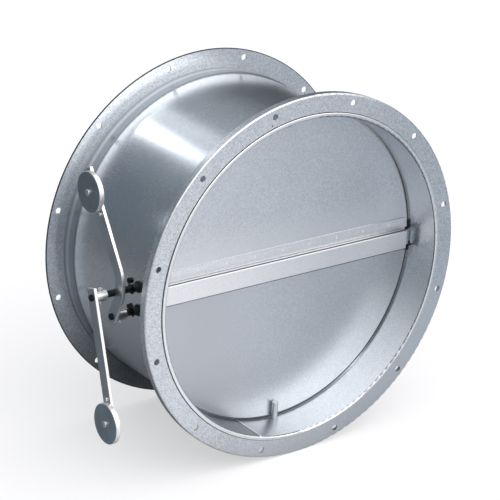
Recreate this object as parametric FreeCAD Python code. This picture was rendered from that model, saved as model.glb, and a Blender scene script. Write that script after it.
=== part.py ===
import FreeCAD, Part
import math
import os

# Backdraft damper for a round air duct of nominal 500 mm. A sheet casing with a bolted
# flange at each end holds two half-round blades. Each blade turns on its own shaft just
# above or below the middle, and a weighted lever outside the casing keeps it shut.
# Frame: origin at the middle of the front flange's face, +X along the middle bar away
# from the levers, +Y down the duct towards the rear flange, +Z up. Millimetres.

# Casing
casing_radius = 250.0
casing_wall = 2.0
casing_length = 273.0
bend_radius = 1.0
lip_reach = 4.5
edge_share = 0.45
seam_angle = 253.0
seam_width = 5.0
seam_height = 0.4
fit_gap = 0.2

# Flange rings, one rolled angle at each end of the casing
flange_width = 33.0
flange_sheet = 2.0
collar_length = 27.0
rim_depth = 12.0
rim_bend = 0.5
bolt_circle_offset = 20.5
bolt_count = 12
bolt_hole_radius = 4.75
pilot_angle = 106.7
pilot_offset = 10.0
pilot_radius = 1.5

# Shafts and their bushes
shaft_radius = 5.0
shaft_clearance = 0.05
shaft_y = 68.0
shaft_height = 18.0
shaft_right_reach = 22.0
shaft_chamfer = 0.6
centre_mark_radius = 1.5
groove_width = 1.3
groove_depth = 0.5
bush_body_radius = 7.0
bush_flange_radius = 10.5
bush_flange_reach = 3.5
bush_shoulder_radius = 8.0
bush_neck_radius = 6.6
bush_neck_reach = 11.0
bush_inner_flange_radius = 8.0
bush_inner_reach = 3.5
ring_thickness = 1.0
ring_reach = 3.0
ring_gap = 0.4
ring_mouth_angle = 70.0

# Blades and the straps that wrap their shafts
blade_sheet = 1.5
blade_edge_gap = 4.0
blade_hidden_edge = 1.0
strap_sheet = 1.5
strap_end_gap = 6.5
strap_gap = 0.1
strap_reach = 15.7
strap_bend = 3.5
weld_spacing = 51.0
weld_count = 9
weld_height = 9.0
weld_radius = 2.0
weld_depth = 0.3
strap_screw_spacing = 120.0
strap_screw_count = 4
strap_screw_radius = 2.5
strap_screw_head_radius = 3.5
strap_screw_head_height = 2.5
strap_screw_bite = 4.0

# Middle bar, a shallow channel in front of the gap between the blades
bar_end_gap = 14.0
bar_height = 32.0
bar_depth = 9.0
bar_sheet = 2.0
bar_front_y = 50.0
bar_bend = 2.5

# Brackets that carry the bar between the two shafts
bracket_sheet = 2.0
bracket_strip_half = 7.5
bracket_tab_length = 42.0
bracket_leg_gap = 4.0
bracket_bend = 1.0
bracket_foot_y = 90.0
bracket_foot_depth = 14.0
bracket_foot_half = 28.0
bracket_screw_height = 20.0
bracket_screw_radius = 2.5
bracket_screw_head_across = 8.0
bracket_screw_head_height = 3.5
bracket_nut_height = 4.0
bracket_screw_tail = 1.0

# Stop pins that the closed blades rest against
pin_radius = 5.0
pin_height = 27.0
pin_gap = 0.3
pin_offset = 4.8
pin_head_across = 16.0
pin_head_height = 6.0
pin_tip = 1.5

# Levers and their weights
lever_width = 19.0
lever_sheet = 5.0
upper_lever_reach = 77.5
lower_lever_reach = 44.5
shaft_stub = 2.5
lever_top = 13.5
lever_corner = 1.5
lever_edge = 0.6
weight_arm = 180.0
weight_lean_angle = 16.5
weight_radius = 30.0
weight_thickness = 8.0
weight_chamfer = 0.8
upper_lever_tail = 20.0
lower_lever_tail = 34.0
lock_screw_reach = 34.0
dogleg_lean_angle = 26.0
dogleg_height = 38.0
dogleg_top_y = 51.5
dogleg_top_height = 68.0
dogleg_bend = 30.0
hub_radius = 8.0
hub_length = 18.0
hub_chamfer = 0.8
hub_screw_radius = 3.0
hub_screw_reach = 11.5
hub_socket_across = 3.0
hub_socket_depth = 2.5
weight_screw_radius = 3.0
weight_screw_head_radius = 5.0
weight_screw_head_height = 3.0
weight_screw_slot = 1.4
weight_slot_angle = 45.0
weight_nut_across = 10.0
weight_nut_height = 5.0
weight_screw_tail = 2.0
lock_screw_radius = 2.0
lock_screw_head_radius = 3.5
lock_screw_head_height = 2.4
screw_gap = 0.05

# How far a cutting tool runs past what it cuts
cut_over = 1.0

casing_bore = casing_radius - casing_wall
flange_radius = casing_radius + flange_width
bolt_circle_radius = casing_radius + bolt_circle_offset
pilot_circle_radius = casing_radius + pilot_offset
lip_radius = casing_radius + lip_reach
ring_bore = casing_radius + fit_gap
collar_radius = ring_bore + flange_sheet
blade_radius = casing_bore - blade_edge_gap
blade_back_y = shaft_y - shaft_radius
blade_front_y = blade_back_y - blade_sheet
pin_y = blade_front_y - pin_gap - pin_radius
pin_lean = math.degrees(math.asin(pin_offset / casing_radius))
strap_half = casing_bore - bush_inner_reach - strap_end_gap
bar_half = bar_height / 2
bar_end = casing_bore - bar_end_gap
bush_outer_end = casing_radius + bush_neck_reach
upper_lever_face = -casing_radius - upper_lever_reach
lower_lever_face = -casing_radius - lower_lever_reach
FULL_TURN = 360.0
LEFT = -1
RIGHT = 1
HEX_SIDES = 6
X_AXIS = FreeCAD.Vector(1, 0, 0)
Y_AXIS = FreeCAD.Vector(0, 1, 0)
Z_AXIS = FreeCAD.Vector(0, 0, 1)
ORIGIN = FreeCAD.Vector(0, 0, 0)


def rounded_wire(corners, place):
    """Close a wire through corners of (a, b, radius), with a tangent arc at each radius."""
    spans = []
    for index, (a, b, radius) in enumerate(corners):
        corner = place(a, b)
        before = place(*corners[index - 1][:2]) - corner
        after = place(*corners[(index + 1) % len(corners)][:2]) - corner
        if radius == 0:
            spans.append((corner, corner, corner))
            continue
        before.normalize()
        after.normalize()
        half_angle = before.getAngle(after) / 2
        middle = before + after
        middle.normalize()
        run = radius / math.tan(half_angle)
        top = corner + middle * (radius / math.sin(half_angle) - radius)
        spans.append((corner + before * run, top, corner + after * run))
    edges = []
    for index, (start, top, end) in enumerate(spans):
        if (end - start).Length > 0:
            edges.append(Part.Arc(start, top, end).toShape())
        next_start = spans[(index + 1) % len(spans)][0]
        edges.append(Part.LineSegment(end, next_start).toShape())
    return Part.Wire(edges)


def on_duct(radius, y):
    return FreeCAD.Vector(radius, y, 0)


def on_side(y, z):
    return FreeCAD.Vector(0, y, z)


def turned(corners):
    """Turn a profile of (radius, y, corner radius) about the duct's axis."""
    return Part.Face(rounded_wire(corners, on_duct)).revolve(ORIGIN, Y_AXIS, FULL_TURN)


def on_plan(x, y):
    return FreeCAD.Vector(x, y, 0)


def side_plate(corners, x_low, x_high):
    """Cut a plate across X from an outline of (y, z, corner radius)."""
    plate = Part.Face(rounded_wire(corners, on_side)).extrude(X_AXIS * (x_high - x_low))
    plate.translate(X_AXIS * x_low)
    return plate


def cylinder_x(radius, x_low, x_high, y, z):
    return Part.makeCylinder(radius, x_high - x_low, FreeCAD.Vector(x_low, y, z), X_AXIS)


def cylinder_y(radius, y_low, y_high, x, z):
    return Part.makeCylinder(radius, y_high - y_low, FreeCAD.Vector(x, y_low, z), Y_AXIS)


def duct_direction(angle):
    """Direction out from the duct's axis, angle in degrees from +X towards +Z."""
    turn = math.radians(angle)
    return FreeCAD.Vector(math.cos(turn), 0, math.sin(turn))


def radial_rod(angle, y, inner, outer, radius):
    out = duct_direction(angle)
    return Part.makeCylinder(radius, outer - inner, out * inner + Y_AXIS * y, out)


def hexagon(centre, out, across, height):
    """Hexagon prism that stands on centre and points along out."""
    across_to = Z_AXIS if out.isParallel(Y_AXIS, math.pi / HEX_SIDES) else Y_AXIS
    side = out.cross(across_to)
    side.normalize()
    corner = side * (across / 2 / math.cos(math.pi / HEX_SIDES))
    turns = [FULL_TURN / HEX_SIDES * index for index in range(HEX_SIDES + 1)]
    ring = [centre + FreeCAD.Rotation(out, turn).multVec(corner) for turn in turns]
    return Part.Face(Part.makePolygon(ring)).extrude(out * height)


def bolt_angles():
    step = FULL_TURN / bolt_count
    return [step * (index + 0.5) for index in range(bolt_count)]


def bracket_fixings():
    """Angle of each bracket screw: two on the right side, two on the left."""
    rise = math.degrees(math.asin(bracket_screw_height / casing_radius))
    return [rise, -rise, FULL_TURN / 2 - rise, FULL_TURN / 2 + rise]


def pin_angles():
    """Angles of the top and bottom stop pins, both on the lever side of the middle."""
    return [90 + pin_lean, 270 - pin_lean]


def bush_places():
    return [(side, level) for side in (LEFT, RIGHT) for level in (-shaft_height, shaft_height)]


def casing_tube():
    """Sheet tube with both ends turned out over the flange rings."""
    outer_bend = bend_radius + casing_wall
    edge = casing_wall * edge_share
    profile = [
        (casing_bore, -casing_wall, outer_bend),
        (lip_radius, -casing_wall, edge),
        (lip_radius, 0, edge),
        (casing_radius, 0, bend_radius),
        (casing_radius, casing_length, bend_radius),
        (lip_radius, casing_length, edge),
        (lip_radius, casing_length + casing_wall, edge),
        (casing_bore, casing_length + casing_wall, outer_bend),
    ]
    tube = turned(profile)
    for side, level in bush_places():
        x_low = min(0, side * flange_radius)
        x_high = x_low + flange_radius
        tube = tube.cut(cylinder_x(bush_body_radius + screw_gap, x_low, x_high, shaft_y, level))
    for angle in bracket_fixings():
        hole = radial_rod(angle, bracket_foot_y, 0, flange_radius, bracket_screw_radius + screw_gap)
        tube = tube.cut(hole)
    for angle in pin_angles():
        tube = tube.cut(radial_rod(angle, pin_y, 0, flange_radius, pin_radius + screw_gap))
    return tube.fuse(weld_seam())


def weld_seam():
    """Flat bead inside the tube where the rolled sheet meets itself."""
    out = duct_direction(seam_angle)
    bead_start = casing_wall
    bead_length = casing_length - 2 * bead_start
    disc = Part.makeCylinder(casing_bore + casing_wall / 2, bead_length, Y_AXIS * bead_start, Y_AXIS)
    core = Part.makeCylinder(casing_bore - seam_height, bead_length, Y_AXIS * bead_start, Y_AXIS)
    slab = Part.makeBox(casing_radius, bead_length, seam_width)
    slab.translate(FreeCAD.Vector(0, bead_start, -seam_width / 2))
    slab.rotate(ORIGIN, Y_AXIS, -seam_angle)
    if slab.CenterOfMass.dot(out) < 0:
        slab.rotate(ORIGIN, Y_AXIS, FULL_TURN / 2)
    return disc.cut(core).common(slab)


def drilled(ring, y_low, y_high):
    """Drill the bolt circle through a flange ring."""
    for angle in bolt_angles():
        out = duct_direction(angle) * bolt_circle_radius
        ring = ring.cut(cylinder_y(bolt_hole_radius, y_low, y_high, out.x, out.z))
    return ring


def front_flange_ring():
    """Rolled angle with its outer edge turned back as a rim."""
    inner_rim = flange_radius - flange_sheet
    profile = [
        (flange_radius, 0, flange_sheet + rim_bend),
        (flange_radius, rim_depth, 0),
        (inner_rim, rim_depth, 0),
        (inner_rim, flange_sheet, rim_bend),
        (collar_radius, flange_sheet, bend_radius),
        (collar_radius, collar_length, 0),
        (ring_bore, collar_length, 0),
        (ring_bore, 0, bend_radius + fit_gap),
    ]
    ring = drilled(turned(profile), -flange_sheet, 2 * flange_sheet)
    out = duct_direction(pilot_angle) * pilot_circle_radius
    return ring.cut(cylinder_y(pilot_radius, -flange_sheet, 2 * flange_sheet, out.x, out.z))


def rear_flange_ring():
    """Rolled angle with a plain outer edge."""
    face = casing_length - flange_sheet
    profile = [
        (flange_radius, casing_length, 0),
        (flange_radius, face, 0),
        (collar_radius, face, bend_radius),
        (collar_radius, casing_length - collar_length, 0),
        (ring_bore, casing_length - collar_length, 0),
        (ring_bore, casing_length, bend_radius + fit_gap),
    ]
    return drilled(turned(profile), face - flange_sheet, casing_length + flange_sheet)


def centre_bar():
    """Channel that opens to the rear and hides the gap between the blades."""
    back = bar_front_y + bar_depth
    web = bar_front_y + bar_sheet
    inner_half = bar_half - bar_sheet
    profile = [
        (bar_front_y, -bar_half, bar_bend),
        (bar_front_y, bar_half, bar_bend),
        (back, bar_half, 0),
        (back, inner_half, 0),
        (web, inner_half, bar_bend - bar_sheet),
        (web, -inner_half, bar_bend - bar_sheet),
        (back, -inner_half, 0),
        (back, -bar_half, 0),
    ]
    return side_plate(profile, -bar_end, bar_end)


def bracket_strip():
    """Strip that runs behind the bar's web, back between the shafts and out to the wall."""
    tab_y = bar_front_y + bar_sheet
    leg_x = bar_end - bracket_leg_gap
    tab_start = leg_x - bracket_tab_length
    foot_low = bracket_foot_y - bracket_foot_depth / 2
    outer_bend = bracket_bend + bracket_sheet
    profile = [
        (tab_start, tab_y, 0),
        (leg_x, tab_y, outer_bend),
        (leg_x, foot_low, bracket_bend),
        (casing_radius, foot_low, 0),
        (casing_radius, foot_low + bracket_sheet, 0),
        (leg_x - bracket_sheet, foot_low + bracket_sheet, outer_bend),
        (leg_x - bracket_sheet, tab_y + bracket_sheet, bracket_bend),
        (tab_start, tab_y + bracket_sheet, 0),
    ]
    strip = Part.Face(rounded_wire(profile, on_plan)).extrude(Z_AXIS * 2 * bracket_strip_half)
    strip.translate(-Z_AXIS * bracket_strip_half)
    return strip.common(Part.makeCylinder(casing_bore, casing_length, ORIGIN, Y_AXIS))


def right_bar_bracket():
    """Strip from the bar with a tall foot on the casing wall behind the blades."""
    foot_low = bracket_foot_y - bracket_foot_depth / 2
    foot_high = bracket_foot_y + bracket_foot_depth / 2
    corner = bracket_sheet
    foot = [
        (foot_low, bracket_foot_half, corner),
        (foot_high, bracket_foot_half, corner),
        (foot_high, -bracket_foot_half, corner),
        (foot_low, -bracket_foot_half, corner),
    ]
    shell = Part.makeCylinder(casing_bore, casing_length, ORIGIN, Y_AXIS)
    shell = shell.cut(Part.makeCylinder(casing_bore - bracket_sheet, casing_length, ORIGIN, Y_AXIS))
    wall_foot = side_plate(foot, 0, casing_radius).common(shell)
    bracket = wall_foot.fuse(bracket_strip()).removeSplitter()
    for angle in bracket_fixings()[:2]:
        hole = radial_rod(angle, bracket_foot_y, 0, flange_radius, bracket_screw_radius + screw_gap)
        bracket = bracket.cut(hole)
    return bracket


def left_bar_bracket():
    return right_bar_bracket().mirror(ORIGIN, X_AXIS)


def bracket_screws():
    """Hexagon screws through the casing wall and the bracket feet."""
    tail = casing_bore - bracket_sheet - bracket_nut_height - bracket_screw_tail
    screws = []
    for angle in bracket_fixings():
        out = duct_direction(angle)
        seat = out * casing_radius + Y_AXIS * bracket_foot_y
        head = hexagon(seat, out, bracket_screw_head_across, bracket_screw_head_height)
        shank = radial_rod(angle, bracket_foot_y, tail, casing_radius, bracket_screw_radius)
        screws.append(head.fuse(shank))
    return Part.makeCompound(screws)


def bracket_nuts():
    """Nuts on the bracket feet, just clear of the foot's curve at their flat faces."""
    nuts = []
    inner = casing_bore - bracket_sheet - screw_gap - bracket_nut_height
    for angle in bracket_fixings():
        out = duct_direction(angle)
        seat = out * inner + Y_AXIS * bracket_foot_y
        nut = hexagon(seat, out, bracket_screw_head_across, bracket_nut_height)
        hole = radial_rod(angle, bracket_foot_y, 0, casing_radius, bracket_screw_radius + screw_gap)
        nuts.append(nut.cut(hole))
    return Part.makeCompound(nuts)


def right_bush(level):
    """Flanged bush through the casing wall, its flanges shaped to the round wall."""
    inner_face = casing_bore - bush_inner_reach
    outer_face = casing_radius + bush_flange_reach
    neck_length = bush_neck_reach - bush_flange_reach
    body = cylinder_x(bush_body_radius, inner_face, outer_face, shaft_y, level)
    neck = Part.makeCone(bush_shoulder_radius, bush_neck_radius, neck_length,
                         FreeCAD.Vector(outer_face, shaft_y, level), X_AXIS)
    disc = cylinder_x(bush_flange_radius, casing_bore - bush_flange_radius, outer_face, shaft_y, level)
    outer_flange = disc.cut(Part.makeCylinder(casing_radius, casing_length, ORIGIN, Y_AXIS))
    inner_disc = cylinder_x(bush_inner_flange_radius, inner_face, casing_radius, shaft_y, level)
    inner_flange = inner_disc.common(Part.makeCylinder(casing_bore, casing_length, ORIGIN, Y_AXIS))
    bush = body.fuse([neck, outer_flange, inner_flange]).removeSplitter()
    return bush.cut(cylinder_x(shaft_radius + shaft_clearance, 0, flange_radius, shaft_y, level))


def bush(side, level):
    shape = right_bush(level)
    if side == LEFT:
        shape = shape.mirror(ORIGIN, X_AXIS)
    return shape


def stop_pin(angle):
    """Screw from outside whose plain end stands in front of the closed blade."""
    inner = casing_bore - pin_height
    out = duct_direction(angle)
    shank = radial_rod(angle, pin_y, inner, casing_radius, pin_radius)
    tip = [edge for edge in shank.Edges if edge.Closed and edge.CenterOfMass.dot(out) < inner + pin_tip]
    shank = shank.makeFillet(pin_tip, tip)
    head = hexagon(out * casing_radius + Y_AXIS * pin_y, out, pin_head_across, pin_head_height)
    return shank.fuse(head)


def half_disc_blade(level):
    """Half disc with its straight edge just past the shaft, level is +1 above and -1 below."""
    edge = level * (shaft_height - blade_hidden_edge)
    half_chord = math.sqrt(blade_radius ** 2 - edge ** 2)
    left = FreeCAD.Vector(-half_chord, blade_front_y, edge)
    top = FreeCAD.Vector(0, blade_front_y, level * blade_radius)
    right = FreeCAD.Vector(half_chord, blade_front_y, edge)
    outline = Part.Wire([Part.Arc(left, top, right).toShape(), Part.LineSegment(right, left).toShape()])
    return Part.Face(outline).extrude(Y_AXIS * blade_sheet)


def strap_screw_places():
    middle = (strap_screw_count - 1) / 2
    return [(index - middle) * strap_screw_spacing for index in range(strap_screw_count)]


def hinge_strap(level):
    """Strip spot-welded to the blade's front, its edge rolled under the blade and round the shaft."""
    height = level * shaft_height
    inner = shaft_radius + strap_gap
    outer = inner + strap_sheet
    profile = [
        (blade_front_y - strap_sheet, level * strap_reach, 0),
        (blade_front_y - strap_sheet, -level * outer, strap_bend + strap_sheet),
        (shaft_y + outer, -level * outer, outer - strap_gap / 2),
        (shaft_y + outer, level * outer, outer - strap_gap / 2),
        (blade_back_y, level * outer, 0),
        (blade_back_y, level * inner, 0),
        (shaft_y + inner, level * inner, inner - strap_gap / 2),
        (shaft_y + inner, -level * inner, inner - strap_gap / 2),
        (blade_front_y, -level * inner, strap_bend),
        (blade_front_y, level * strap_reach, 0),
    ]
    placed = [(y, height + z, radius) for y, z, radius in profile]
    strap = side_plate(placed, -strap_half, strap_half)
    hole_radius = strap_screw_radius + screw_gap
    for x in strap_screw_places():
        strap = strap.cut(cylinder_y(hole_radius, shaft_y, shaft_y + 2 * outer, x, height))
    face = blade_front_y - strap_sheet
    weld_z = height + level * weld_height
    for index in range(weld_count):
        x = (index - (weld_count - 1) / 2) * weld_spacing
        strap = strap.cut(cylinder_y(weld_radius, face - cut_over, face + weld_depth, x, weld_z))
    return strap


def strap_screws(level):
    """Cap screws from behind through the strap into the shaft."""
    height = level * shaft_height
    seat = shaft_y + shaft_radius + strap_gap + strap_sheet
    screws = []
    for x in strap_screw_places():
        head = cylinder_y(strap_screw_head_radius, seat, seat + strap_screw_head_height, x, height)
        shank = cylinder_y(strap_screw_radius, shaft_y + shaft_radius - strap_screw_bite, seat, x, height)
        socket = hexagon(FreeCAD.Vector(x, seat + strap_screw_head_height / 2, height), Y_AXIS,
                         strap_screw_radius, strap_screw_head_height)
        screws.append(head.fuse(shank).cut(socket))
    return Part.makeCompound(screws)


def ring_places():
    """Low X of the retaining ring at the left end and at the right end."""
    right = bush_outer_end + ring_gap
    return [-right - ring_thickness, right]


def damper_shaft(level, lever_face):
    """Round bar with a groove for each retaining ring and seats for the strap screws."""
    height = level * shaft_height
    x_low = lever_face - shaft_stub
    shaft = cylinder_x(shaft_radius, x_low, casing_radius + shaft_right_reach, shaft_y, height)
    ends = [edge for edge in shaft.Edges if edge.Closed]
    shaft = shaft.makeChamfer(shaft_chamfer, ends)
    for place in ring_places():
        low = place - (groove_width - ring_thickness) / 2
        groove = cylinder_x(shaft_radius + cut_over, low, low + groove_width, shaft_y, height)
        core = cylinder_x(shaft_radius - groove_depth, low, low + groove_width, shaft_y, height)
        shaft = shaft.cut(groove.cut(core))
    mark = Part.makeCone(centre_mark_radius, 0, centre_mark_radius,
                         FreeCAD.Vector(x_low, shaft_y, height), X_AXIS)
    shaft = shaft.cut(mark)
    hole_radius = strap_screw_radius + screw_gap
    hole_end = shaft_y + shaft_radius - strap_screw_bite - screw_gap
    for x in strap_screw_places():
        shaft = shaft.cut(cylinder_y(hole_radius, hole_end, shaft_y + 2 * shaft_radius, x, height))
    return shaft


def retaining_ring(level, x_low):
    """Open spring ring that sits in the shaft's groove."""
    height = level * shaft_height
    x_high = x_low + ring_thickness
    ring = cylinder_x(shaft_radius + ring_reach, x_low, x_high, shaft_y, height)
    bore = shaft_radius - groove_depth + screw_gap
    ring = ring.cut(cylinder_x(bore, x_low - cut_over, x_high + cut_over, shaft_y, height))
    spread = math.tan(math.radians(ring_mouth_angle / 2)) * 2 * shaft_radius
    mouth = [
        (shaft_y, height, 0),
        (shaft_y - spread, height + level * 2 * shaft_radius, 0),
        (shaft_y + spread, height + level * 2 * shaft_radius, 0),
    ]
    return ring.cut(side_plate(mouth, x_low - cut_over, x_high + cut_over))


def weight_place(level):
    """Centre of a weight as (y, z): below and ahead on the upper lever, opposite on the lower."""
    lean = math.radians(weight_lean_angle)
    y = shaft_y - level * weight_arm * math.sin(lean)
    z = level * shaft_height - level * weight_arm * math.cos(lean)
    return y, z


def bar_outline(route, corner, end_corner):
    """Outline of a flat bar along a route of (y, z), its bends rounded by corner."""
    half = lever_width / 2
    points = [FreeCAD.Vector(0, y, z) for y, z in route]
    normals = []
    for start, end in zip(points[:-1], points[1:]):
        along = end - start
        along.normalize()
        normals.append(X_AXIS.cross(along))
    near = [(points[0] + normals[0] * half, end_corner)]
    far = [(points[0] - normals[0] * half, end_corner)]
    for index in range(1, len(points) - 1):
        mean = normals[index - 1] + normals[index]
        mean.normalize()
        offset = mean * (half / mean.dot(normals[index]))
        turn = normals[index - 1].cross(normals[index]).x
        near.append((points[index] + offset, corner - half if turn > 0 else corner + half))
        far.append((points[index] - offset, corner + half if turn > 0 else corner - half))
    near.append((points[-1] + normals[-1] * half, lever_corner))
    far.append((points[-1] - normals[-1] * half, lever_corner))
    return [(point.y, point.z, radius) for point, radius in near + far[::-1]]


def lever_holes(level, face):
    """Holes through a lever for its shaft, its weight screw and its lock screw."""
    low = face - cut_over
    high = face + lever_sheet + cut_over
    weight_y, weight_z = weight_place(level)
    lock_y, lock_z = lock_place(level)
    shaft_hole = cylinder_x(shaft_radius + screw_gap, low, high, shaft_y, level * shaft_height)
    weight_hole = cylinder_x(weight_screw_radius + screw_gap, low, high, weight_y, weight_z)
    lock_hole = cylinder_x(lock_screw_radius + screw_gap, low, high, lock_y, lock_z)
    return shaft_hole.fuse([weight_hole, lock_hole])


def past(point, origin, reach):
    """Point (y, z) further along the line from origin through point, by reach."""
    run = math.hypot(point[0] - origin[0], point[1] - origin[1])
    return tuple(at + (at - start) * reach / run for at, start in zip(point, origin))


def lever_tail(level):
    return upper_lever_tail if level > 0 else lower_lever_tail


def lever_route(level):
    """Middle line of a lever from its shaft end to its far end as (y, z)."""
    shaft_z = level * shaft_height
    route = [(shaft_y, shaft_z)]
    if level < 0:
        low_y = shaft_y - dogleg_height * math.tan(math.radians(dogleg_lean_angle))
        route += [(low_y, shaft_z + dogleg_height), (dogleg_top_y, shaft_z + dogleg_top_height)]
    weight = weight_place(level)
    route.append(past(weight, route[-1], lever_tail(level)))
    route[0] = past(route[0], route[1], lever_top)
    return route


def lock_place(level):
    """Centre of the small screw beside a weight, on the lever's middle line."""
    return past(weight_place(level), lever_route(level)[-1], lock_screw_reach)


def lever_arm(level, face):
    """Flat bar: straight on the upper shaft, bent round the upper shaft on the lower one."""
    end_corner = lever_corner if level > 0 else lever_width * edge_share
    outline = bar_outline(lever_route(level), dogleg_bend, end_corner)
    arm = side_plate(outline, face, face + lever_sheet)
    rims = [edge for edge in arm.Edges if edge.BoundBox.XLength < lever_edge]
    return arm.makeFillet(lever_edge, rims).cut(lever_holes(level, face))


def lever_hub(level, face):
    """Round boss behind the lever that grips the shaft with two screws."""
    height = level * shaft_height
    low = face + lever_sheet
    high = low + hub_length
    hub = cylinder_x(hub_radius, low, high, shaft_y, height)
    ends = [edge for edge in hub.Edges if edge.Closed]
    hub = hub.makeChamfer(hub_chamfer, ends)
    hub = hub.cut(cylinder_x(shaft_radius + screw_gap, low - cut_over, high + cut_over, shaft_y, height))
    below = FreeCAD.Vector((low + high) / 2, shaft_y, height - 2 * hub_radius)
    return hub.cut(Part.makeCylinder(hub_screw_radius + screw_gap, 4 * hub_radius, below, Z_AXIS))


def hub_screws(level, face):
    """Two set screws, one from above and one from below, with hexagon sockets."""
    middle = FreeCAD.Vector(face + lever_sheet + hub_length / 2, shaft_y, level * shaft_height)
    tip = shaft_radius + screw_gap
    socket_floor = hub_screw_reach - hub_socket_depth
    screws = []
    for out in (Z_AXIS, -Z_AXIS):
        screw = Part.makeCylinder(hub_screw_radius, hub_screw_reach - tip, middle + out * tip, out)
        socket = hexagon(middle + out * socket_floor, out, hub_socket_across, 2 * hub_socket_depth)
        screws.append(screw.cut(socket))
    return Part.makeCompound(screws)


def weight_disc(level, face):
    """Round steel weight on the lever's outer face."""
    y, z = weight_place(level)
    outer = face - weight_thickness
    disc = cylinder_x(weight_radius, outer, face, y, z)
    rims = [edge for edge in disc.Edges if edge.Closed]
    disc = disc.makeChamfer(weight_chamfer, rims)
    return disc.cut(cylinder_x(weight_screw_radius + screw_gap, outer - cut_over, face + cut_over, y, z))


def rounded_head(radius, crown, seat, y, z):
    """Round screw head that points to -X, its outer edge rounded by a part of its height."""
    head = cylinder_x(radius, crown, seat, y, z)
    rim = [edge for edge in head.Edges if edge.Closed and edge.CenterOfMass.x < (crown + seat) / 2]
    return head.makeFillet((seat - crown) * edge_share, rim)


def weight_screw(level, face):
    """Slotted screw through the weight and the lever."""
    y, z = weight_place(level)
    outer = face - weight_thickness
    end = face + lever_sheet + weight_nut_height + weight_screw_tail
    crown = outer - weight_screw_head_height
    head = rounded_head(weight_screw_head_radius, crown, outer, y, z)
    slot = Part.makeBox(weight_screw_slot, 4 * weight_screw_head_radius, weight_screw_slot)
    slot.translate(FreeCAD.Vector(crown - weight_screw_slot / 2, y - 2 * weight_screw_head_radius,
                                  z - weight_screw_slot / 2))
    slot.rotate(FreeCAD.Vector(0, y, z), X_AXIS, -weight_slot_angle)
    return head.fuse(cylinder_x(weight_screw_radius, outer, end, y, z)).cut(slot)


def weight_nut(level, face):
    y, z = weight_place(level)
    back = face + lever_sheet
    end = back + weight_nut_height
    nut = hexagon(FreeCAD.Vector(back, y, z), X_AXIS, weight_nut_across, weight_nut_height)
    return nut.cut(cylinder_x(weight_screw_radius + screw_gap, back - cut_over, end + cut_over, y, z))


def lock_screw(level, face):
    """Small round-headed screw in the lever, close to the weight's edge."""
    y, z = lock_place(level)
    head = rounded_head(lock_screw_head_radius, face - lock_screw_head_height, face, y, z)
    return head.fuse(cylinder_x(lock_screw_radius, face, face + lever_sheet, y, z))


def moving_parts(name, level, face):
    """Everything that turns with one blade, by name."""
    left_ring, right_ring = ring_places()
    return {
        name + "_blade": half_disc_blade(level),
        name + "_hinge_strap": hinge_strap(level),
        name + "_strap_screws": strap_screws(level),
        name + "_shaft": damper_shaft(level, face),
        name + "_left_retaining_ring": retaining_ring(level, left_ring),
        name + "_right_retaining_ring": retaining_ring(level, right_ring),
        name + "_lever_arm": lever_arm(level, face),
        name + "_lever_hub": lever_hub(level, face),
        name + "_hub_screws": hub_screws(level, face),
        name + "_weight": weight_disc(level, face),
        name + "_weight_screw": weight_screw(level, face),
        name + "_weight_nut": weight_nut(level, face),
        name + "_lock_screw": lock_screw(level, face),
    }


parts = {
    "casing_tube": casing_tube(),
    "front_flange_ring": front_flange_ring(),
    "rear_flange_ring": rear_flange_ring(),
    "centre_bar": centre_bar(),
    "left_bar_bracket": left_bar_bracket(),
    "right_bar_bracket": right_bar_bracket(),
    "bracket_screws": bracket_screws(),
    "bracket_nuts": bracket_nuts(),
    "upper_left_bush": bush(LEFT, shaft_height),
    "upper_right_bush": bush(RIGHT, shaft_height),
    "lower_left_bush": bush(LEFT, -shaft_height),
    "lower_right_bush": bush(RIGHT, -shaft_height),
    "top_stop_pin": stop_pin(pin_angles()[0]),
    "bottom_stop_pin": stop_pin(pin_angles()[1]),
}
parts.update(moving_parts("upper", 1, upper_lever_face))
parts.update(moving_parts("lower", -1, lower_lever_face))

os.makedirs("parts", exist_ok=True)
for name, shape in parts.items():
    shape.exportStep("parts/" + name + ".step")
    print(name, "valid", shape.isValid(), "solids", len(shape.Solids), "volume", round(shape.Volume, 1))
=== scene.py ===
# Looks of a round duct's backdraft damper: galvanised sheet casing, flanges and blades, zinc-plated
# levers with round weights, and black shafts and bushes. The sections follow the order in which it is
# put together. Metres, with the origin in the middle of the front flange's face.
import math

import bmesh
import bpy
from mathutils import Matrix, Vector


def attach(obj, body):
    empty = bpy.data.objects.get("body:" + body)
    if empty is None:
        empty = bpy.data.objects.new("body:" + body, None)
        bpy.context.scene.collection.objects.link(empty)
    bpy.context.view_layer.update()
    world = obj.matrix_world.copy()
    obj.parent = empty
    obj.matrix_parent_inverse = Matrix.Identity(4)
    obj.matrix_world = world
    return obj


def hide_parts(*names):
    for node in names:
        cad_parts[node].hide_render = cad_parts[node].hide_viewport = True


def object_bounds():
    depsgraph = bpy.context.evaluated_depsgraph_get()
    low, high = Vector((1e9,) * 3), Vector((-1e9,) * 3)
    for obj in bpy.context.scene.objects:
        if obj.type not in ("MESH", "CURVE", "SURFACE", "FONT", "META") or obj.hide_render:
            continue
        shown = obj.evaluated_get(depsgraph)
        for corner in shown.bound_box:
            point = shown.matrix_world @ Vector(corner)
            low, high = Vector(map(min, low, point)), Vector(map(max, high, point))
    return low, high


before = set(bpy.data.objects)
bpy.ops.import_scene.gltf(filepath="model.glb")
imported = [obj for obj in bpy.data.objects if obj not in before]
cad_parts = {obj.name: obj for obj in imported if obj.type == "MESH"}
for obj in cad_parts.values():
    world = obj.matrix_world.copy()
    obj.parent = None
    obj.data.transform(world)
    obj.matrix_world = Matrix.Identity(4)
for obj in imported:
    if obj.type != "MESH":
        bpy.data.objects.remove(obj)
cad_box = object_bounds()


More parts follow.
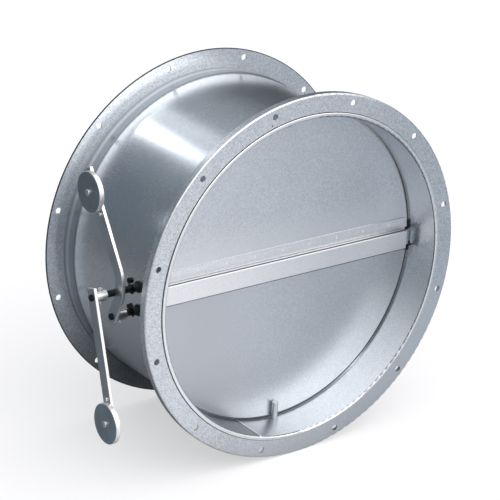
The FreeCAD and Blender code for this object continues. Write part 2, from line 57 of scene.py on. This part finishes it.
# Casing tube
# One sheet of 2 mm hot-dip galvanised steel, rolled to a tube, welded along the bottom and turned out
# over the flange rings at both ends. The outside is painted paler than the inside, painted light on
# one face of the same sheet, and is a little glossier.
class Field:
    """A socket that takes part in plain arithmetic. Each operator adds its Math node."""

    def __init__(self, finish, socket):
        self.finish = finish
        self.socket = socket

    def maths(self, operation, *values):
        return self.finish.node("ShaderNodeMath", {"operation": operation}, dict(enumerate(values)))

    def __add__(self, other):
        return self.maths("ADD", self, other)

    def __sub__(self, other):
        return self.maths("SUBTRACT", self, other)

    def __rsub__(self, other):
        return self.maths("SUBTRACT", other, self)

    def __mul__(self, other):
        return self.maths("MULTIPLY", self, other)

    def __pow__(self, other):
        return self.maths("POWER", self, other)

    def __gt__(self, other):
        return self.maths("GREATER_THAN", self, other)

    def __lt__(self, other):
        return self.maths("LESS_THAN", self, other)

    __radd__ = __add__
    __rmul__ = __mul__

    def ramp(self, low, high, start=0.0, end=1.0):
        """Map low..high to start..end smoothly and hold the ends."""
        inputs = {"Value": self, "From Min": low, "From Max": high, "To Min": start, "To Max": end}
        return self.finish.node("ShaderNodeMapRange", {"interpolation_type": "SMOOTHSTEP"}, inputs)


class Finish:
    """A material whose nodes are added one at a time around one Principled shader."""

    def __init__(self, name, **constants):
        self.material = bpy.data.materials.new(name)
        self.material.use_nodes = True
        self.tree = self.material.node_tree
        self.shader = self.tree.nodes["Principled BSDF"]
        for socket, value in constants.items():
            self.shader.inputs[socket].default_value = value
        self.place = self.node("ShaderNodeTexCoord", output="Object")
        axes = [self.node("ShaderNodeSeparateXYZ", {}, {"Vector": self.place}, output=axis) for axis in "XYZ"]
        self.x, self.y, self.z = axes

    def node(self, kind, settings=None, inputs=None, output=0):
        """Add a node with its settings, then its values and links, and give one of its outputs."""
        made = self.tree.nodes.new(kind)
        for name, value in (settings or {}).items():
            setattr(made, name, value)
        for socket, value in (inputs or {}).items():
            if isinstance(value, Field):
                self.tree.links.new(value.socket, made.inputs[socket])
            else:
                made.inputs[socket].default_value = value
        return Field(self, made.outputs[output])

    def noise(self, scale, detail=2.0):
        return self.node("ShaderNodeTexNoise", {}, {"Vector": self.place, "Scale": scale, "Detail": detail})

    def cells(self, scale):
        """One random grey per crystal of the zinc."""
        colour = self.node("ShaderNodeTexVoronoi", {}, {"Vector": self.place, "Scale": scale}, output="Color")
        return self.node("ShaderNodeSeparateColor", {}, {"Color": colour})

    def colours(self, factor, first, second):
        """Colour that goes from first to second as factor goes from 0 to 1."""
        first, second = [tone if isinstance(tone, Field) else (*tone, 1.0) for tone in (first, second)]
        inputs = {0: factor, 6: first, 7: second}
        return self.node("ShaderNodeMix", {"data_type": "RGBA"}, inputs, output=2)

    def mottle(self, factor, tone, low, high):
        """Vary a tone between a low and a high share of itself."""
        ends = [tuple(min(1.0, value * share) for value in tone) for share in (low, high)]
        self.shade = self.colours(factor, *ends)

    def paint(self, mask, tone):
        """Lay a tone over the shade where the mask is 1."""
        self.shade = self.colours(mask, self.shade, tone)

    def bump(self, height, strength, distance, under=None):
        inputs = {"Height": height, "Strength": strength, "Distance": distance}
        if under:
            inputs["Normal"] = under
        return self.node("ShaderNodeBump", {}, inputs)

    def feed(self, socket, value):
        self.tree.links.new(value.socket, self.shader.inputs[socket])

    def settle(self):
        """Join the finished shade, gloss and relief to the shader."""
        self.feed("Base Color", self.shade)
        self.feed("Roughness", self.gloss)
        self.feed("Normal", self.relief)
        return self


def coat(node, finish):
    """Give a carried-over node its finish."""
    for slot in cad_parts[node].material_slots:
        slot.material = finish.material


def radius_of(finish):
    """Distance from the duct's axis."""
    return (finish.x * finish.x + finish.z * finish.z) ** 0.5


def zinc_sheet(name, tone, spread, roughness):
    """Hot-dip galvanised sheet: fine crystals, soft clouds of bloom and a faint waviness."""
    finish = Finish(name, Metallic=1.0)
    crystals = finish.cells(600.0)
    fine = finish.noise(640.0, 3.0)
    clouds = finish.noise(9.0, 3.0)
    waves = finish.noise(14.0, 1.0)
    finish.grain = (crystals * 0.4 + fine * 0.4 + clouds * 0.2).ramp(0.3, 0.7)
    finish.mottle(finish.grain, tone, 1 - spread, 1 + spread)
    finish.gloss = roughness + (fine - 0.5) * 0.06 + (clouds - 0.5) * 0.1
    finish.relief = finish.bump(waves, 0.3, 0.0005, finish.bump(fine, 0.25, 0.00002))
    return finish


casing_radius = 0.25
casing_length = 0.273
casing_sheet = 0.002
blade_plane = 0.062
gap_shade_width = 0.0035
gap_shade_fade = 0.002
gap_shade_spread = 0.0012
spread_height = 0.12
seam_side = -0.0725
bead_left = seam_side - 0.0006
bead_right = seam_side + 0.0016
dark_band_width = 0.1
dark_band_end = seam_side - 0.001
dark_band_fade = 0.0015
casing_zinc = zinc_sheet("casing_zinc", (0.56, 0.595, 0.63), 0.07, 0.28)
from_axis = radius_of(casing_zinc)
between_flanges = (casing_zinc.y > casing_sheet) * (casing_zinc.y < casing_length - casing_sheet)
outside = from_axis.ramp(casing_radius - 0.6 * casing_sheet, casing_radius - 0.1 * casing_sheet)
outside = outside * between_flanges
inside = 1.0 - outside
# The outer face is painted paler than the inner one: painted light, since both faces are the same zinc.
casing_zinc.paint(outside, casing_zinc.colours(casing_zinc.grain, (0.64, 0.68, 0.725), (0.75, 0.79, 0.83)))

# The front lip's face is painted near white as a painted highlight, and its bend dark as painted shade.
lip_highlight = casing_zinc.y < -0.75 * casing_sheet
casing_zinc.paint(lip_highlight * (from_axis > casing_radius - 0.4 * casing_sheet), (0.93, 0.945, 0.965))
lip_bend_shade = casing_zinc.y < 0.3 * casing_sheet
casing_zinc.paint(lip_bend_shade * (from_axis < casing_radius - 0.7 * casing_sheet), (0.14, 0.15, 0.165))

# To the left of the seam's bead, the inside is painted darker over a band 10 cm wide.
at_bottom = casing_zinc.z < -casing_radius / 2
dark_band_by_seam = at_bottom * inside * (casing_zinc.y > 0.4 * casing_sheet) * (casing_zinc.y < blade_plane)
dark_band_by_seam = dark_band_by_seam * casing_zinc.x.ramp(seam_side - dark_band_width, seam_side - dark_band_width / 2)
dark_band_by_seam = dark_band_by_seam * (1.0 - casing_zinc.x.ramp(dark_band_end, dark_band_end + dark_band_fade))
casing_zinc.paint(dark_band_by_seam, (0.27, 0.30, 0.325))
# The seam's bead is painted near white, a painted highlight along it.
seam_highlight = (casing_zinc.x > bead_left) * (casing_zinc.x < bead_right) * (casing_zinc.z < 0.0)
casing_zinc.paint(seam_highlight * inside, (0.97, 0.975, 0.98))

# Painted shade on the wall behind the edge of the shut blades, in a wider line above, where the gap is dark.
gap_shade_reach = casing_zinc.z.ramp(0.0, spread_height, 0.0, gap_shade_spread)
blade_gap_shade = (casing_zinc.y + gap_shade_reach).ramp(blade_plane, blade_plane + gap_shade_fade) * inside
blade_gap_shade = blade_gap_shade * (1.0 - casing_zinc.y.ramp(blade_plane + 0.6 * gap_shade_width, blade_plane + gap_shade_width))
casing_zinc.paint(blade_gap_shade, (0.06, 0.065, 0.07))
casing_zinc.gloss = casing_zinc.gloss + blade_gap_shade * 0.3 - outside * 0.02
coat("casing_tube", casing_zinc.settle())


# Flange rings
# Two rings rolled from 2 mm galvanised angle, each with twelve holes and a collar on the tube. The front
# one has its outer edge turned back as a rim, and the rear one's outer edge is painted dark.
flange_radius = 0.283
flange_sheet = 0.002
lip_radius = 0.2545
lip_shadow = 0.0006
collar_radius = 0.2522
collar_skin = 0.0003
collar_band_start = casing_length - 0.018
collar_band_full = casing_length - 0.012
collar_band_fade = casing_length - 0.011
collar_band_end = casing_length - 0.006
painted_light_from = 0.1
painted_light_full = 0.28
flange_zinc = zinc_sheet("flange_zinc", (0.71, 0.745, 0.79), 0.16, 0.32)
from_axis = radius_of(flange_zinc)
# The rings are painted paler towards the lower right, as painted light.
towards_lower_right = flange_zinc.x * 0.5 - flange_zinc.z * 0.87
flange_zinc.paint(towards_lower_right.ramp(painted_light_from, painted_light_full) * 0.8, (0.90, 0.93, 0.965))
# The collar is painted darker than the ring, with a paler band across its middle.
on_collar = 1.0 - from_axis.ramp(collar_radius + collar_skin, collar_radius + flange_sheet / 2)
collar_band = flange_zinc.y.ramp(collar_band_start, collar_band_full) - flange_zinc.y.ramp(collar_band_fade, collar_band_end)
flange_zinc.paint(on_collar, flange_zinc.colours(collar_band, (0.26, 0.29, 0.32), (0.42, 0.45, 0.48)))
# The rear ring's outer edge is painted dark.
rear_edge_dark = from_axis.ramp(flange_radius - 0.8 * flange_sheet, flange_radius - 0.5 * flange_sheet)
rear_edge_dark = rear_edge_dark * (flange_zinc.y > casing_length - 1.25 * flange_sheet)
flange_zinc.paint(rear_edge_dark, (0.06, 0.07, 0.08))
# Painted shade in the corner along the front lip.
shade_by_lip = 1.0 - from_axis.ramp(lip_radius + lip_shadow, lip_radius + 2 * lip_shadow)
shade_by_lip = shade_by_lip * (flange_zinc.y < lip_shadow / 2)
flange_zinc.paint(shade_by_lip, (0.05, 0.055, 0.06))
flange_zinc.gloss = flange_zinc.gloss + (rear_edge_dark + shade_by_lip) * 0.2
flange_zinc.settle()
for node in ("front_flange_ring", "rear_flange_ring"):
    coat(node, flange_zinc)


# Centre bar and its brackets
# A shallow channel of 2 mm galvanised sheet across the middle. At each end a stepped plate of the same
# sheet goes on from behind its web to the wall, where its foot turns back and takes two screws.
bar_front = 0.050
bar_half = 0.016
top_skin = 0.0004
top_line = 0.0042
bend_height = 0.0021
bend_fade = 0.0008
under_height = 0.0016
under_fade = 0.0010
bar_zinc = zinc_sheet("bar_zinc", (0.93, 0.935, 0.955), 0.04, 0.32)
on_top = (bar_zinc.z > bar_half - top_skin) * (bar_zinc.y > bar_front + 2 * top_skin)
# The top flange is painted darker than the front, as painted shade.
bar_zinc.paint(on_top, (0.50, 0.52, 0.55))
# The front's upper bend is painted darker, painted shade over its highlight.
bend_start = bar_half - bend_height
bend_shade = bar_zinc.z.ramp(bend_start, bend_start + bend_fade) * (1.0 - on_top)
bar_zinc.paint(bend_shade, (0.56, 0.58, 0.61))
# A dark line along the top's front edge is a painted shadow of the gap above the bar.
top_edge_shadow = on_top * (bar_zinc.y < bar_front + top_line)
bar_zinc.paint(top_edge_shadow, (0.05, 0.056, 0.068))
# A dark line along the bottom of the front is a painted shadow of the gap below the bar.
under_end = under_height - bar_half
under_shadow = 1.0 - bar_zinc.z.ramp(under_end, under_end + under_fade)
bar_zinc.paint(under_shadow, (0.08, 0.095, 0.11))
coat("centre_bar", bar_zinc.settle())
bracket_zinc = zinc_sheet("bracket_zinc", (0.60, 0.645, 0.695), 0.06, 0.36).settle()


def pick(test):
    """In edit mode, select only the corners that pass the test, with what lies between them."""
    mesh = bmesh.from_edit_mesh(bpy.context.object.data)
    for corner in mesh.verts:
        corner.select = bool(test(corner.co))
    mesh.select_flush_mode()
    bmesh.update_edit_mesh(bpy.context.object.data)


def begin(name, add, **settings):
    """Add a primitive as a new piece, with its place in its mesh, and go into edit mode."""
    bpy.ops.object.select_all(action="DESELECT")
    add(**settings)
    piece = bpy.context.object
    piece.name = name
    bpy.ops.object.transform_apply(location=True, rotation=True, scale=True)
    bpy.ops.object.mode_set(mode="EDIT")
    return piece


def extrude(x, y, z):
    bpy.ops.mesh.extrude_region_move(TRANSFORM_OT_translate={"value": (x, y, z)})


def apply_modifier(piece, kind, **settings):
    modifier = piece.modifiers.new(kind.lower(), kind)
    for name, value in settings.items():
        setattr(modifier, name, value)
    bpy.ops.object.modifier_apply(modifier=modifier.name)


def face_outwards():
    """Turn all faces of the active piece outwards."""
    bpy.ops.object.mode_set(mode="EDIT")
    bpy.ops.mesh.select_all(action="SELECT")
    bpy.ops.mesh.normals_make_consistent(inside=False)
    bpy.ops.object.mode_set(mode="OBJECT")


def duplicate(piece, name, shift=(0, 0, 0), mirrored=False):
    """Copy a piece with its own mesh, moved, and mirrored in X where asked."""
    twin = piece.copy()
    twin.data = piece.data.copy()
    twin.name = name
    bpy.context.collection.objects.link(twin)
    bpy.ops.object.select_all(action="DESELECT")
    bpy.context.view_layer.objects.active = twin
    twin.select_set(True)
    bpy.ops.object.mode_set(mode="EDIT")
    bpy.ops.mesh.select_all(action="SELECT")
    bpy.ops.transform.translate(value=shift)
    if mirrored:
        bpy.ops.transform.resize(value=(-1, 1, 1), center_override=(0, 0, 0))
        bpy.ops.mesh.normals_make_consistent(inside=False)
    bpy.ops.object.mode_set(mode="OBJECT")
    return twin


# Sizes of the right bracket. Its route is that of the middle of its sheet, seen from above.
bracket_sheet = 0.002
strip_half = 0.0075
plate_ear = 0.0045
foot_half = 0.028
tab_start = 0.188
tab_end = tab_start + 2 * strip_half
step_start = 0.226
step_end = 0.230
wall_gap = 0.00015
foot_x = casing_radius - casing_sheet - bracket_sheet / 2 - wall_gap
tab_y = bar_front + 1.5 * bracket_sheet
plate_y = tab_y + 3 * bracket_sheet
foot_start = 0.083
foot_end = 0.097
sheet_bend = 0.0015
sheet_edge = 0.0003
screw_y = (foot_start + foot_end) / 2
screw_height = 0.020
screw_hole = 0.00255
drill_length = 0.012
wing_steps = 4
same_place = 0.00005
smooth_below = math.radians(35)
route = [(tab_end, tab_y), (step_start, tab_y), (step_end, plate_y), (foot_x, plate_y),
         (foot_x, foot_start), (foot_x, foot_end)]
bracket = begin("right_bracket_sheet", bpy.ops.mesh.primitive_plane_add, size=2 * strip_half,
                location=(tab_start + strip_half, tab_y, 0), rotation=(math.pi / 2, 0, 0))
pick(lambda at: at.x > tab_end - same_place)
for start, end in zip(route, route[1:]):
    extrude(end[0] - start[0], end[1] - start[1], 0)
bends = [Vector((x, y)) for x, y in route[1:-2]]
pick(lambda at: any((at.xy - bend).length < same_place for bend in bends))
bpy.ops.mesh.bevel(offset=sheet_bend, segments=3, affect="EDGES")

# The plate widens into ears, and the foot into wings that follow the round wall.
wing = [strip_half + (foot_half - strip_half) * step / wing_steps for step in range(wing_steps + 1)]
for way in (1, -1):
    pick(lambda at: way * at.z > strip_half - same_place and abs(at.y - plate_y) < same_place)
    extrude(0, 0, way * plate_ear)
    pick(lambda at: way * at.z > strip_half - same_place and at.y > foot_start - same_place)
    for low, high in zip(wing, wing[1:]):
        reach = [math.sqrt(casing_radius ** 2 - height ** 2) for height in (low, high)]
        extrude(reach[1] - reach[0], 0, way * (high - low))
bpy.ops.object.mode_set(mode="OBJECT")
apply_modifier(bracket, "SOLIDIFY", thickness=bracket_sheet, offset=0, use_even_offset=True)
face_outwards()
for way in (1, -1):
    tilt = math.asin(screw_height / casing_radius) * way
    place = (math.cos(tilt) * foot_x, screw_y, math.sin(tilt) * foot_x)
    bpy.ops.mesh.primitive_cylinder_add(vertices=32, radius=screw_hole, depth=drill_length, location=place,
                                        rotation=(0, math.pi / 2 - tilt, 0))
    drill = bpy.context.object
    bpy.context.view_layer.objects.active = bracket
    apply_modifier(bracket, "BOOLEAN", object=drill, operation="DIFFERENCE", solver="EXACT")
    bpy.data.objects.remove(drill)
bpy.ops.object.select_all(action="DESELECT")
bracket.select_set(True)
apply_modifier(bracket, "BEVEL", width=sheet_edge, segments=2, limit_method="ANGLE",
               angle_limit=math.radians(40))
bpy.ops.object.shade_smooth_by_angle(angle=smooth_below)
bracket.data.materials.append(bracket_zinc.material)
left_bracket = duplicate(bracket, "left_bracket_sheet", mirrored=True)
for piece, node in ((bracket, "right_bar_bracket"), (left_bracket, "left_bar_bracket")):
    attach(piece, "casing")
    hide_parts(node)


# Blades and hinge straps
# Two half discs of 1.5 mm galvanised sheet, each spot-welded to a strap whose edge is rolled round the
# shaft. The upper blade is painted paler near the bar as painted light, and the lower one is painted
# darker on its left as painted shade.
near_bar_light_start = 0.03
near_bar_light_end = 0.095
shade_left_until = -0.16
blade_zinc = zinc_sheet("blade_zinc", (0.69, 0.725, 0.775), 0.10, 0.33)
# Painted light on the upper blade near the bar.
painted_light_near_bar = (1.0 - blade_zinc.z.ramp(near_bar_light_start, near_bar_light_end)) * (blade_zinc.z > 0.0)
blade_zinc.paint(painted_light_near_bar * 0.75, (0.82, 0.845, 0.875))
# Painted shade on the lower blade's left.
painted_shade_left = (1.0 - blade_zinc.x.ramp(shade_left_until, 0.0, 0.0, 0.7)) * (blade_zinc.z < 0.0)
blade_zinc.paint(painted_shade_left, (0.57, 0.60, 0.645))
blade_zinc.settle()
for node in ("upper_blade", "lower_blade", "lower_hinge_strap"):
    coat(node, blade_zinc)

# The upper strap is painted brighter, the same painted light as on the blade near the bar, with
# burnished spot welds. Its upper edge is painted as a dark line with pale dashes: painted shade and
# painted highlights along the edge.
weld_row = 0.027
weld_gap = 0.051
weld_radius = 0.0030
weld_core = 0.0018
strap_edge = 0.0335
edge_fade = 0.0003
dash_rate = 1300.0
strap_zinc = zinc_sheet("strap_zinc", (0.88, 0.90, 0.93), 0.06, 0.35)
height = strap_zinc.z.maths("ABSOLUTE", strap_zinc.z)
along = strap_zinc.x.maths("PINGPONG", strap_zinc.x, weld_gap / 2)
from_weld = (along ** 2.0 + (height - weld_row) ** 2.0) ** 0.5
strap_zinc.paint(1.0 - from_weld.ramp(weld_core, weld_radius), (1.0, 1.0, 1.0))
edge_glints = strap_zinc.x.maths("SINE", strap_zinc.x * dash_rate).ramp(-0.2, 0.3)
edge_shade_and_glints = strap_zinc.colours(edge_glints, (0.36, 0.38, 0.40), (0.66, 0.68, 0.71))
strap_zinc.paint(height.ramp(strap_edge - edge_fade, strap_edge), edge_shade_and_glints)
coat("upper_hinge_strap", strap_zinc.settle())


# Shafts, bushes and black fasteners
# Blackened 10 mm round steel in flanged bushes of black nylon, with open spring rings in the shafts'
# grooves. The screws of the straps and the brackets are blackened too.
def dark_finish(name, tone, metallic, roughness):
    finish = Finish(name, Metallic=metallic)
    scuffs = finish.noise(160.0, 4.0)
    finish.mottle(scuffs.ramp(0.35, 0.7), tone, 0.7, 1.6)
    finish.gloss = roughness + (scuffs - 0.5) * 0.25
    finish.relief = finish.bump(finish.noise(900.0, 2.0), 0.3, 0.00003)
    return finish.settle()


black_steel = dark_finish("black_steel", (0.016, 0.017, 0.020), 0.85, 0.42)
black_nylon = dark_finish("black_nylon", (0.008, 0.0085, 0.0095), 0.0, 0.55)
black_nylon.shader.inputs["Specular IOR Level"].default_value = 0.3
for side in ("upper", "lower"):
    for piece in ("_shaft", "_left_retaining_ring", "_right_retaining_ring", "_strap_screws"):
        coat(side + piece, black_steel)
for node in ("bracket_screws", "bracket_nuts"):
    coat(node, black_steel)

# Distance from the duct's axis and radius, round the section of one bush: inner flange, body in the
# wall, outer flange with a rounded edge, tapered neck and back along the bore.
shaft_y = 0.068
shaft_height = 0.018
bore = 0.00505
neck = 0.0060
body = 0.0070
inner_flange = 0.0080
outer_flange = 0.0088
inner_end = 0.2445
body_start = 0.2476
body_end = 0.2486
flange_face = 0.2517
outer_end = 0.2610
merge_below = 0.00002
section = [(inner_end, bore), (inner_end, 0.0074), (0.2450, inner_flange), (body_start, inner_flange),
           (body_start, body), (body_end, body), (body_end, outer_flange), (0.2511, outer_flange),
           (0.2515, 0.0086), (flange_face, 0.0081), (flange_face, 0.0067), (0.2521, 0.0063),
           (0.2603, neck), (outer_end, 0.0055), (outer_end, bore), (inner_end, bore)]
bush = begin("upper_right_flanged_bush", bpy.ops.mesh.primitive_circle_add, vertices=48, radius=bore,
             location=(inner_end, shaft_y, shaft_height), rotation=(0, math.pi / 2, 0))
bpy.ops.mesh.select_all(action="SELECT")
for start, end in zip(section, section[1:]):
    extrude(end[0] - start[0], 0, 0)
    growth = end[1] / start[1]
    bpy.ops.transform.resize(value=(1, growth, growth), center_override=(end[0], shaft_y, shaft_height))
bpy.ops.mesh.select_all(action="SELECT")
bpy.ops.mesh.remove_doubles(threshold=merge_below)
bpy.ops.object.mode_set(mode="OBJECT")
face_outwards()
bpy.ops.object.shade_smooth_by_angle(angle=smooth_below)
bush.data.materials.append(black_nylon.material)
drop = (0, 0, -2 * shaft_height)
bushes = [(bush, "upper_right_bush"),
          (duplicate(bush, "lower_right_flanged_bush", drop), "lower_right_bush"),
          (duplicate(bush, "upper_left_flanged_bush", mirrored=True), "upper_left_bush"),
          (duplicate(bush, "lower_left_flanged_bush", drop, mirrored=True), "lower_left_bush")]
for piece, node in bushes:
    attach(piece, "casing")
    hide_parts(node)


# Levers, hubs, weights and stop pins
# Flat bar, turned discs and small hardware of zinc-plated steel. All but the broad outer faces of the
# levers and weights is painted near white, a painted highlight on their edges.
def plated_steel(name, tone, roughness):
    finish = Finish(name, Metallic=1.0)
    smudges = finish.noise(45.0, 4.0)
    grain = finish.noise(700.0, 2.0)
    finish.mottle((smudges * 0.7 + grain * 0.3).ramp(0.3, 0.7), tone, 0.86, 1.1)
    finish.gloss = roughness + (smudges - 0.5) * 0.15
    finish.relief = finish.bump(grain, 0.3, 0.00004)
    return finish


edge_depth = 0.0003


def plating_with_edge_highlight(name, tone, roughness, face_x):
    """Plating painted near white behind its outer face at face_x, as a painted highlight on the edges."""
    finish = plated_steel(name, tone, roughness)
    finish.paint(finish.x.ramp(face_x + edge_depth, face_x + 2 * edge_depth), (0.97, 0.975, 0.98))
    return finish.settle()


upper_arm_face = -0.3275
lower_arm_face = -0.2945
weight_thickness = 0.008
for side, face_x, weight_tone in (("upper", upper_arm_face, (0.385, 0.475, 0.54)),
                                  ("lower", lower_arm_face, (0.33, 0.40, 0.455))):
    coat(side + "_lever_arm", plating_with_edge_highlight(side + "_arm_plating", (0.47, 0.53, 0.58), 0.30, face_x))
    weight_face = face_x - weight_thickness
    coat(side + "_weight", plating_with_edge_highlight(side + "_weight_plating", weight_tone, 0.40, weight_face))
screw_plating = plated_steel("screw_plating", (0.72, 0.73, 0.74), 0.24).settle()
for side in ("upper", "lower"):
    for piece in ("_lever_hub", "_hub_screws", "_weight_screw", "_weight_nut", "_lock_screw"):
        coat(side + piece, screw_plating)
pin_plating = plated_steel("pin_plating", (0.50, 0.53, 0.56), 0.34).settle()
for node in ("top_stop_pin", "bottom_stop_pin"):
    coat(node, pin_plating)


# Studio
# A pale floor under the damper and a wide soft light that comes from ahead and above and fades into a
# dim bluish room behind. Two small lamps high behind draw the bright band on the tube.
floor_size = 60.0
floor_height = cad_box[0][2]
bpy.ops.object.select_all(action="DESELECT")
bpy.ops.mesh.primitive_plane_add(size=floor_size, location=(0, 0, floor_height))
floor = bpy.context.object
floor.name = "floor"
bpy.ops.object.transform_apply(location=True, rotation=True, scale=True)
paper = Finish("floor_paper", Roughness=1.0)
paper.shader.inputs["Specular IOR Level"].default_value = 0.0
seen = paper.node("ShaderNodeLightPath", output="Is Camera Ray")
mirrored = paper.node("ShaderNodeLightPath", output="Is Glossy Ray")

# Tones that the metal mirrors: grey, pale and dark across the floor ahead, and dark behind with a pale
# part for views from there. The camera's rays that the blades mirror each keep to one value of aside.
mirror_slope = 0.745
aside = paper.x + paper.y * mirror_slope
floor_ahead = paper.colours(aside.ramp(-0.14, 0.22), (0.70, 0.725, 0.76), (0.315, 0.355, 0.40))
floor_ahead = paper.colours(aside.ramp(-0.9, -0.4), (0.40, 0.43, 0.46), floor_ahead)
away = (paper.x * paper.x + paper.y * paper.y) ** 0.5
floor_behind = paper.colours(away.ramp(0.7, 2.2), (0.20, 0.215, 0.23), (0.13, 0.142, 0.155))
rear_fill = paper.x.ramp(-0.4, 0.1) * paper.y.ramp(0.3, 0.7)
floor_behind = paper.colours(rear_fill, floor_behind, (0.60, 0.62, 0.65))
mirror_tone = paper.colours(paper.y.ramp(-0.25, 0.15), floor_ahead, floor_behind)

# The camera itself sees white paper that keeps the damper's shadow.
plain_tone = paper.colours(seen, (0.93, 0.93, 0.93), (0.43, 0.44, 0.46))
paper.feed("Base Color", paper.colours(mirrored, plain_tone, mirror_tone))
paper.shader.inputs["Emission Strength"].default_value = 0.52
paper.feed("Emission Color", paper.colours(seen, (0.0, 0.0, 0.0), (1.0, 1.0, 1.0)))
floor.data.materials.append(paper.material)


def heading(azimuth, elevation):
    """Direction away from the damper. Azimuth runs from +Y towards +X."""
    turn = math.radians(azimuth)
    rise = math.radians(elevation)
    return Vector((math.sin(turn) * math.cos(rise), math.cos(turn) * math.cos(rise), math.sin(rise)))


class Dome(Finish):
    """The room's own nodes, which take directions instead of places."""

    def __init__(self, room):
        self.tree = room.node_tree
        self.shader = self.tree.nodes["Background"]
        self.place = self.node("ShaderNodeTexCoord", output="Generated")

    def towards(self, azimuth, elevation):
        """Cosine of the angle to a direction."""
        return self.node("ShaderNodeVectorMath", {"operation": "DOT_PRODUCT"},
                         {0: self.place, 1: heading(azimuth, elevation)}, output="Value")


# How bright the room is by direction: soft light ahead and above, dim elsewhere, less dim on the left,
# high behind and along the horizon behind, and white where the camera sees it.
room = bpy.data.worlds.new("room")
room.use_nodes = True
dome = Dome(room)
soft_light = dome.node("ShaderNodeMapRange", {},
                       {"Value": dome.towards(168, 45), "From Min": -0.3, "From Max": 1.0}) ** 2.0
soft_light = soft_light * dome.towards(0, 90).ramp(-0.1, 0.35, 0.45, 1.0)
dim = dome.colours(dome.towards(-50, 5).ramp(0.2, 1.0), (0.070, 0.086, 0.10), (0.145, 0.176, 0.205))
dim = dome.colours(dome.towards(-2, 42).ramp(0.8, 1.0), dim, (0.27, 0.31, 0.35))
dim = dome.colours(dome.towards(0, 2).ramp(0.87, 0.98), dim, (0.72, 0.74, 0.77))
glow = dome.colours(soft_light, dim, (2.60, 2.50, 2.43))
dome.feed("Color", dome.colours(dome.node("ShaderNodeLightPath", output="Is Camera Ray"), glow,
                                (1.0, 1.0, 1.0)))
bpy.context.scene.world = room
damper_middle = Vector((0, 0.13, 0))
lamp_distance = 2.6


def softbox(name, azimuth, elevation, size, power):
    """Square lamp that faces the damper."""
    lamp = bpy.data.lights.new(name, "AREA")
    lamp.shape = "SQUARE"
    lamp.size = size
    lamp.energy = power
    holder = bpy.data.objects.new(name, lamp)
    bpy.context.collection.objects.link(holder)
    out = heading(azimuth, elevation)
    holder.location = damper_middle + out * lamp_distance
    holder.rotation_euler = out.to_track_quat("Z", "Y").to_euler()
    holder.visible_camera = False


softbox("band", -14, 37, 0.2, 1.8)
softbox("band_foot", -3, 42, 0.32, 0.4)


# Camera
# A long lens ahead of the damper on its lever side, a little above it and rolled a touch, as in the
# photograph.
view_azimuth = -36.694
view_elevation = 21.554
view_roll = 2.26
view_place = Vector((-1.61158, -2.02086, 1.06410))
lens = bpy.data.cameras.new("camera")
lens.sensor_width = 36.0
lens.lens = 136.80
camera = bpy.data.objects.new("camera", lens)
bpy.context.collection.objects.link(camera)
aim = Matrix.Rotation(math.radians(view_azimuth), 4, "Z")
aim = aim @ Matrix.Rotation(math.radians(90 - view_elevation), 4, "X")
aim = aim @ Matrix.Rotation(math.radians(view_roll), 4, "Z")
camera.matrix_world = Matrix.Translation(view_place) @ aim
bpy.context.scene.camera = camera
bpy.context.scene.view_settings.view_transform = "Standard"
